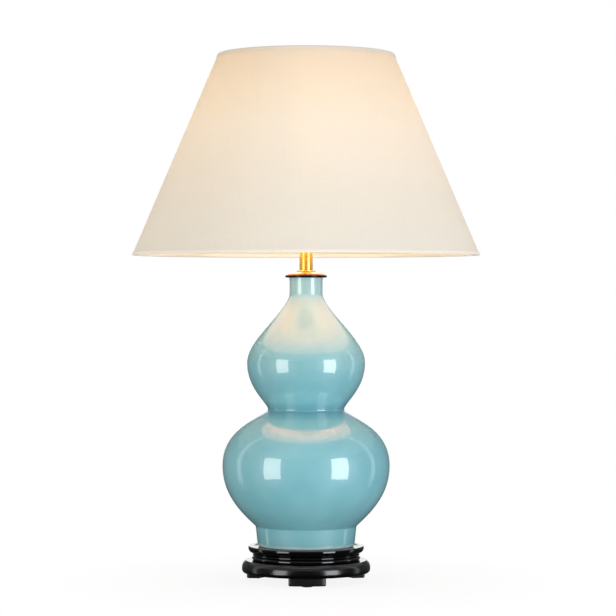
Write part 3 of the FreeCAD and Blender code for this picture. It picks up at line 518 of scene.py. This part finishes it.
def shade_lining():
    """White translucent sheet laminated inside the cloth, with a painted glow that only reflections see,
    standing in for its lit inside.
    """
    see_through = 0.42
    paint = Painter("shade_lining_finish", roughness=0.42, ior=1.45)
    flat = paint.add("UVMap").outputs["UV"]
    ripple = paint.noise(30.0, 3.0, flat)
    paint.set(base_color=paint.blend(paint.fit(ripple, 0.3, 0.7), (0.86, 0.84, 0.79), (0.89, 0.87, 0.83)))
    paint.emboss(ripple, 0.12 * MM, 0.4)
    # Painted reflection: a glow only glossy rays see, warm near the bulb, paler behind, dimmer at the rim and
    # mouth.
    warm, rim, pale = (2.9, 0.62, 0.12), (1.1, 0.5, 0.5), (0.9, 0.85, 0.8)
    full, at_mouth, at_back = 1.0 / (1.0 - see_through), 0.78, 1.1
    turn, height = paint.turn(), paint.height()
    colour = paint.blend(paint.fit(height, shade_low + 32 * MM, bulb_centre_z - 20 * MM), rim, warm)
    colour = paint.blend(paint.fit(turn, math.radians(140), math.radians(165)), colour, pale)
    strength = paint.maths("MULTIPLY", paint.fit(height, bulb_centre_z, shade_high, full, full * at_mouth),
                           paint.fit(turn, math.radians(60), math.radians(150), 1.0, at_back))
    strength = paint.maths("MULTIPLY", strength, paint.add("LightPath").outputs["Is Glossy Ray"])
    paint.set(emission_color=colour, emission_strength=strength)
    let_light_through(paint, (0.95, 0.93, 0.88), see_through)
    return quiet(paint.material)


# ---- Sizes read from the frame ----
vase_low, vase_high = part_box("vase")
vase_z = vase_low.z
vase_top_z = vase_high.z
waist_z = vase_z + 178.7 * MM
cap_top_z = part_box("neck_cap")[1].z
cap_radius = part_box("neck_cap")[1].x
foot_top_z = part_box("stand_foot_front")[1].z
apron_top_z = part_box("stand_apron")[1].z
bulb_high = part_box("bulb_glass")[1]
bulb_radius = bulb_high.x
bulb_centre_z = bulb_high.z - bulb_radius
shade_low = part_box("shade_bottom_binding")[0].z
shade_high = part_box("shade_top_binding")[1].z

MAKERS = [glaze, lacquered_wood, brass, steel, nickel, solder, tungsten, vitrite, black_plastic, rubber,
          fibre, felt, frosted_glass, clear_glass, white_steel, shade_cloth, shade_lining]
FINISH = {maker.__name__: maker() for maker in MAKERS}
HEM_CLOTH = shade_cloth("hem_cloth_finish", (0.84, 0.780, 0.660), through=0.0)    # dense where it is folded


def dress_nodes():
    """Gives each CAD node the finish of its slot in the record."""
    for entry in frame["record"]["subparts"]:
        node = frame["nodes"][entry["node"]]
        for slot in node.material_slots:
            slot.material = FINISH[entry["material_slot"]]


# ---- Vase ----
VASE_WALL = 5.0 * MM


def inward(heading):
    return spot(-heading.y, heading.x)


def inset_corner(corner, arriving, leaving, inset):
    first, second = inward(arriving), inward(leaving)
    return corner + (first + second) * (inset / (1 + first.dot(second)))


def gourd_side(inset):
    """The double gourd's side from the crease above its foot to its neck."""
    foot_way = (spot(66.2, 26.4) - spot(63.3, 0)).normalized()
    start_way, below, above, up = way(43.0), way(151.4), way(66.0), way(90.0)
    lower_belly = spot(109.8 * MM - inset, vase_z + 106.2 * MM)
    upper_belly = spot(77.7 * MM - inset, vase_z + 240.7 * MM)
    neck = spot(21.7 * MM - inset, vase_top_z - 21.0 * MM)
    foot_top = inset_corner(spot(66.2 * MM, vase_z + 26.4 * MM), foot_way, start_way, inset)
    waist = inset_corner(spot(49.4 * MM, waist_z), below, above, inset)
    crease = rounded(foot_top, foot_way, start_way, 3.0 * MM + inset)
    fold = rounded(waist, below, above, 3.0 * MM + inset, 14)
    return (crease[:-1]
            + held_curve(crease[-1], start_way, lower_belly, up, (0.36, 0.47))
            + held_curve(lower_belly, up, fold[0], below, (0.57, 0.395))
            + fold[:-1]
            + held_curve(fold[-1], above, upper_belly, up, (0.185, 0.54))
            + held_curve(upper_belly, up, neck, up, (0.345, 0.24)) + [neck])


def make_vase():
    outside = gourd_side(0.0)
    inside = gourd_side(VASE_WALL)
    foot = spot(63.3 * MM, vase_z)
    heel = rounded(foot, way(0), (outside[0] - foot).normalized(), 2.4 * MM)
    neck, bore = outside[-1].x, inside[-1].x
    flare = spot(neck, vase_top_z - 5.0 * MM)
    lip = spot(neck + 0.9 * MM, vase_top_z)
    lip_arc = rounded(lip, (lip - flare).normalized(), way(180), 1.2 * MM)
    hole = 5.4 * MM
    ring_inner = foot.x - 8.0 * MM
    floor_low, floor_high = vase_z + 5.0 * MM, vase_z + 11.0 * MM
    outline = [spot(ring_inner, vase_z)] + heel + straight(heel[-1], outside[0], 8)[1:]
    outline += outside + [flare] + lip_arc + [spot(bore, vase_top_z)] + inside[::-1]
    outline += [spot(inside[0].x - 1.6 * MM, floor_high), spot(hole, floor_high), spot(hole, floor_low),
                spot(ring_inner, floor_low)]
    mesh = lathe("vase_glazed", [tuple(point) for point in outline], 224)
    add_piece(mesh, "lamp_body", "glaze", "vase")


# ---- Shade ----
SHADE_BOTTOM = cad_high.x
SHADE_TOP = 115.7 * MM
SHADE_SLOPE = (SHADE_BOTTOM - SHADE_TOP) / (shade_high - shade_low)
SHADE_SLANT = math.hypot(1.0, SHADE_SLOPE)
SINE = SHADE_SLOPE / SHADE_SLANT          # of the cone's half angle
LAP = 9 * MM                             # how far the cloth overlaps itself at the back


def cone_radius(height, inset):
    return SHADE_BOTTOM - SHADE_SLOPE * (height - shade_low) - inset


def lap_angle():
    return LAP / cone_radius((shade_low + shade_high) / 2, 0.0)


def lifted_end(angle, lift):
    """How far the last stretch of a lapped strip stands over its start."""
    left = BACK + TAU + lap_angle() - angle
    return lift * max(0.0, min(1.0, 2.0 - left / lap_angle()))


def cone_sheet(name, inset, bottom, top, lift, unevenness):
    """One layer of cloth or film, cut flat as an arc and lapped at the back."""
    rows_count, segments = 26, 300

    def row(height):
        def place(angle):
            wave = noise.noise(Vector((math.cos(angle) * 3, math.sin(angle) * 3, height * 14)))
            slack = math.sin(math.pi * (height - bottom) / (top - bottom))
            return (cone_radius(height, inset) + lifted_end(angle, lift) + wave * slack * unevenness, height)
        return place

    rows = [row(bottom + (top - bottom) * n / rows_count) for n in range(rows_count + 1)]
    sweep = TAU + lap_angle()
    mesh = lathe(name, rows, segments, BACK, sweep, closed=False)
    give_flat_pattern(mesh)
    return mesh


def turn_from_front(place):
    """Angle about the axis from the lamp's front, within half a turn either way."""
    return (math.atan2(place.y, place.x) - FRONT + math.pi) % TAU - math.pi


def give_flat_pattern(mesh):
    """UVs of the cone laid flat, in metres, with the lamp's front upright."""
    layer = mesh.uv_layers.new(name="UVMap")
    for face in mesh.polygons:
        middle = turn_from_front(face.center)
        for loop in face.loop_indices:
            corner = mesh.vertices[mesh.loops[loop].vertex_index].co
            turn = turn_from_front(corner)
            turn += TAU * round((middle - turn) / TAU)
            reach = math.hypot(corner.x, corner.y) / SINE
            layer.data[loop].uv = (reach * math.sin(turn * SINE), -reach * math.cos(turn * SINE))


def trim_section(edge, side, tail, hem):
    """Outline of a folded strip: outer band, fold round the ring wire and inner hem.

    side is +1 where the strip hangs down from a top edge and -1 at a bottom edge.
    """
    thick = 0.45 * MM
    depth = 5.4 * MM
    corner = 1.3 * MM
    bevel = corner * 0.3

    def down(distance):
        return edge - side * distance

    def outer(distance, inset):
        return spot(cone_radius(down(distance), inset), down(distance))

    outside = [outer(tail, 0.0), outer(tail * 0.5, 0.0), outer(corner, 0.0), outer(bevel, bevel),
               outer(0.0, corner), outer(0.0, depth - corner), outer(bevel, depth - bevel),
               outer(corner, depth), outer(hem, depth)]
    inside = [outer(hem, depth - thick), outer(corner, depth - thick), outer(thick, depth - corner),
              outer(thick, corner), outer(corner, thick), outer(tail * 0.5, thick), outer(tail, thick)]
    return outside, inside


def make_trim(name, node, edge, side):
    """The narrow folded strip glued round a rim of the shade."""
    tail, hem = 4.4 * MM, 5.2 * MM
    outside, inside = trim_section(edge, side, tail, hem)
    outline = outside + inside
    if side > 0:
        outline = outline[::-1]

    def row(point):
        def place(angle):
            wave = noise.noise(Vector((math.cos(angle) * 9, math.sin(angle) * 9, edge * 50)))
            at_tail = abs(point.y - edge) / hem
            return point.x + lifted_end(angle, 0.5 * MM), point.y + wave * at_tail * 0.25 * MM
        return place

    rows = [row(point) for point in outline[::-1]]
    mesh = lathe(name, rows, 300, BACK, TAU + lap_angle(), closed=True)
    close_ends(mesh)
    give_flat_pattern(mesh)
    return add_piece(mesh, "shade", "shade_cloth", node, material=HEM_CLOTH)


def close_ends(mesh):
    """Fills the two cut ends of a strip and points its faces outwards."""
    shape = bmesh.new()
    shape.from_mesh(mesh)
    open_edges = [edge for edge in shape.edges if edge.is_boundary]
    bmesh.ops.holes_fill(shape, edges=open_edges, sides=0)
    bmesh.ops.recalc_face_normals(shape, faces=shape.faces)
    shape.to_mesh(mesh)
    shape.free()


def make_shade():
    bottom, top = shade_low + 0.6 * MM, shade_high - 0.6 * MM
    cloth = add_piece(cone_sheet("shade_cloth", 0.75 * MM, bottom, top, 0.35 * MM, 0.3 * MM),
                      "shade", "shade_cloth", "shade_fabric")
    add_piece(cone_sheet("shade_film", 1.65 * MM, bottom, top, -0.3 * MM, 0.15 * MM),
              "shade", "shade_lining", "shade_liner")
    top_trim = make_trim("shade_top_trim", "shade_top_binding", shade_high, 1)
    bottom_trim = make_trim("shade_bottom_trim", "shade_bottom_binding", shade_low, -1)


# ---- Threads ----
def thread(crest, depth, pitch, bottom, top, steps):
    """Rows of a round thread that runs out at both ends, drawn upwards."""
    def row(height):
        def place(angle):
            phase = math.cos(TAU * height / pitch - angle)
            fade = min(1.0, (height - bottom) / pitch, (top - height) / pitch)
            return crest - depth * (0.5 - 0.5 * phase) * max(0.0, fade), height
        return place
    return [row(bottom + (top - bottom) * n / steps) for n in range(steps + 1)]


def make_bulb_cap():
    """Pressed screw cap with a round thread."""
    low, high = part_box("bulb_cap")
    wall, inner = 0.5 * MM, 10.6 * MM
    step = high.z - 6.0 * MM
    collar = high.x
    bottom = low.z
    outer = [(inner, bottom), (12.2 * MM, bottom), (12.7 * MM, bottom + 0.4 * MM)]
    outer += thread(13.1 * MM, 0.95 * MM, 3.6 * MM, bottom + 1.2 * MM, step - 1.6 * MM, 110)
    outer += [(13.1 * MM, step - 1.0 * MM), (collar, step - 0.5 * MM), (collar, high.z)]
    inside = [(collar - wall, high.z), (collar - wall, step), (11.6 * MM, step), (11.6 * MM, bottom + wall),
              (inner, bottom + wall)]
    add_piece(lathe("bulb_screw_cap", outer + inside, 96), "bulb", "nickel", "bulb_cap")


def make_screw_shell():
    """Threaded brass shell that takes the bulb's cap."""
    low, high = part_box("screw_shell")
    crest, wall = high.x, 0.35 * MM
    inner = thread(crest, 0.5 * MM, 3.6 * MM, low.z, high.z, 120)

    def outside(row):
        return lambda angle: (row(angle)[0] + wall, row(angle)[1])

    rows = [outside(row) for row in inner] + inner[::-1]
    add_piece(lathe("socket_thread", rows, 96), "lamp_body", "brass", "screw_shell")


def make_stud():
    """Swivel stud with its fine thread."""
    low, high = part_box("harp_stud")
    flange = high.x
    top = high.z
    pin_low = low.z + 0.9 * MM
    flange_low = top - 13.5 * MM
    flange_high = top - 11.5 * MM
    rows = [(0.0, low.z), (2.8 * MM, low.z), (3.2 * MM, low.z + 0.4 * MM), (3.2 * MM, pin_low),
            (1.9 * MM, pin_low), (1.9 * MM, flange_low), (flange - 0.4 * MM, flange_low),
            (flange, flange_low + 0.4 * MM), (flange, flange_high - 0.4 * MM),
            (flange - 0.4 * MM, flange_high), (2.9 * MM, flange_high)]
    rows += thread(3.1 * MM, 0.55 * MM, 0.94 * MM, flange_high + 0.2 * MM, top - 0.6 * MM, 150)
    rows += [(2.6 * MM, top), (0.0, top)]
    add_piece(lathe("harp_stud_threaded", rows, 48, closed=False), "harp_stud", "brass", "harp_stud")


# ---- Stage, light and camera ----
def make_world():
    """White for the camera, in reflections and through glass, a lower fill for the rest."""
    fill = 0.56
    world = bpy.data.worlds.new("studio")
    world.use_nodes = True
    bpy.context.scene.world = world
    nodes, links = world.node_tree.nodes, world.node_tree.links
    path = nodes.new("ShaderNodeLightPath")
    seen = path.outputs["Is Camera Ray"]
    for kind in ("Is Glossy Ray", "Is Transmission Ray"):
        either = nodes.new("ShaderNodeMath")
        either.operation = "MAXIMUM"
        links.new(seen, either.inputs[0])
        links.new(path.outputs[kind], either.inputs[1])
        seen = either.outputs[0]
    level = nodes.new("ShaderNodeMapRange")
    level.inputs["To Min"].default_value = fill
    links.new(seen, level.inputs["Value"])
    links.new(level.outputs[0], nodes["Background"].inputs["Strength"])
    nodes["Background"].inputs["Color"].default_value = (1.0, 1.0, 1.0, 1.0)


def add_stage(mesh, material):
    stage = bpy.data.objects.new(mesh.name, mesh)
    bpy.context.scene.collection.objects.link(stage)
    mesh.materials.append(material)
    return stage


def only_in_reflections(stage):
    stage.visible_camera = False
    stage.visible_diffuse = False
    stage.visible_transmission = False
    stage.visible_shadow = False


def make_floor():
    """White floor with a soft shadow that melts into the backdrop; from beneath it is clear."""
    radius, shadow_from, shadow_share = 0.44, 0.09, 0.11
    paint = Painter("floor_white", base_color=(0.86, 0.86, 0.86), roughness=1.0, specular_ior_level=0.0)
    distance = paint.add("VectorMath", {0: paint.place}, operation="LENGTH").outputs["Value"]
    bright = paint.fit(distance, shadow_from, 0.8 * radius, 1 - shadow_share, 1.0)
    bright = paint.maths("MULTIPLY", bright, paint.add("LightPath").outputs["Is Camera Ray"])
    paint.mix_over(bright, paint.add("Emission").outputs[0])
    paint.mix_over(paint.add("NewGeometry").outputs["Backfacing"], paint.add("BsdfTransparent").outputs[0])
    mesh = lathe("floor", [(radius, 0.0), (0.001, 0.0)], 96, closed=False)
    floor = add_stage(mesh, paint.material)
    floor.visible_glossy = False


def make_surround():
    """Dim studio walls that only reflections see.

    They are darkest in front and below, with a pale slit at each side and a white panel behind.
    The lamp throws a warm pool of light on the ceiling through the shade's mouth.
    """
    radius, low, high = 4.6, -3.0, 2.1
    slit_level, panel_level, ceiling_level, pool_level = 1.3, 1.5, 0.45, 3.0
    slit_at, slit_half, slit_edge = math.radians(104), math.radians(6), math.radians(3)
    paint = Painter("surround_grey")
    turn, height = paint.turn(), paint.height()
    level = paint.maths("MULTIPLY", paint.fit(turn, math.radians(50), math.radians(130), 0.07, 0.15),
                        paint.fit(height, -1.0, 0.4, 0.25, 1.0))
    aside = paint.maths("ABSOLUTE", paint.maths("SUBTRACT", turn, slit_at))
    slit = paint.maths("MULTIPLY", paint.fit(aside, slit_half - slit_edge, slit_half, slit_level, 0.0),
                       paint.fit(height, -2.2, -0.8))
    behind = paint.maths("MULTIPLY", paint.fit(turn, math.radians(164), math.radians(170), 0.0, panel_level),
                         paint.fit(height, -0.5, 0.2))
    ceiling = paint.fit(height, high - 1 * MM, high, 0.0, ceiling_level)
    pool = paint.maths("MULTIPLY", paint.fit(paint.reach(), 0.9, 1.2, 1.0, 0.0),
                       paint.fit(height, high - 2 * MM, high - 1 * MM))
    strength = paint.maths("MULTIPLY", pool, pool_level)
    for part in (level, ceiling, slit, behind):
        strength = paint.maths("MAXIMUM", strength, part)
    paint.glow(paint.blend(pool, (0.97, 1.0, 1.0), (1.0, 0.38, 0.17)), strength)
    rows = [(1 * MM, low), (radius, low), (radius, high), (1 * MM, high)]
    only_in_reflections(add_stage(lathe("surround", rows, 96, closed=False), paint.material))


def add_light(name, kind, place, power, colour, target=None, **settings):
    data = bpy.data.lights.new(name, kind)
    data.energy = power
    data.color = colour
    for key, value in settings.items():
        setattr(data, key, value)
    light = bpy.data.objects.new(name, data)
    light.location = place
    if target is not None:
        light.rotation_euler = (Vector(target) - Vector(place)).to_track_quat("-Z", "Y").to_euler()
    bpy.context.scene.collection.objects.link(light)
    light.visible_camera = False
    return light


def make_lights():
    """Two tall softboxes, each with a gleam that only reflections see, and the lit bulb."""
    across, back, height = 2.34, -2.18, 0.235
    width, length = 1.42, 2.20
    for name, side, colour, radiance, gleam in (("left", -1, (1.0, 0.985, 0.95), 4.75, 1.2),
                                                ("right", 1, (0.965, 1.0, 1.05), 6.5, 1.15)):
        for part, tint, strength in (("softbox", colour, radiance), ("gleam", (1.3, 0.62, 0.55), gleam)):
            panel = add_light(part + "_" + name, "AREA", (side * across, back, height),
                              strength * math.pi * width * length, tint, (0, 0, height),
                              shape="RECTANGLE", size=width, size_y=length)
            panel.visible_diffuse = part == "softbox"
            panel.visible_transmission = part == "softbox"
    glow = add_light("bulb_light", "POINT", (0, 0, bulb_centre_z - 28 * MM), 1.85, (1.0, 0.74, 0.52),
                     shadow_soft_size=20 * MM)
    glow.visible_glossy = False
    glow.visible_transmission = False


def make_camera():
    """Level with the vase's shoulder, at the photograph's distance and angle."""
    distance, side, height = 3.215, 0.0025, 0.3766
    pitch = math.radians(0.339)
    data = bpy.data.cameras.new("camera")
    data.sensor_width = 36.0
    data.lens = 143.2
    data.clip_end = 60.0
    camera = bpy.data.objects.new("camera", data)
    camera.location = (side, -distance, height)
    camera.rotation_euler = (TAU / 4 - pitch, 0, 0)
    bpy.context.scene.collection.objects.link(camera)
    bpy.context.scene.camera = camera


dress_nodes()
# The bulb's light stands inside its glass, which would otherwise shade it.
frame["nodes"]["bulb_glass"].visible_shadow = False
make_vase()
make_shade()
make_bulb_cap()
make_screw_shell()
make_stud()
make_world()
make_floor()
make_surround()
make_lights()
make_camera()
bpy.context.scene.view_settings.view_transform = "Standard"
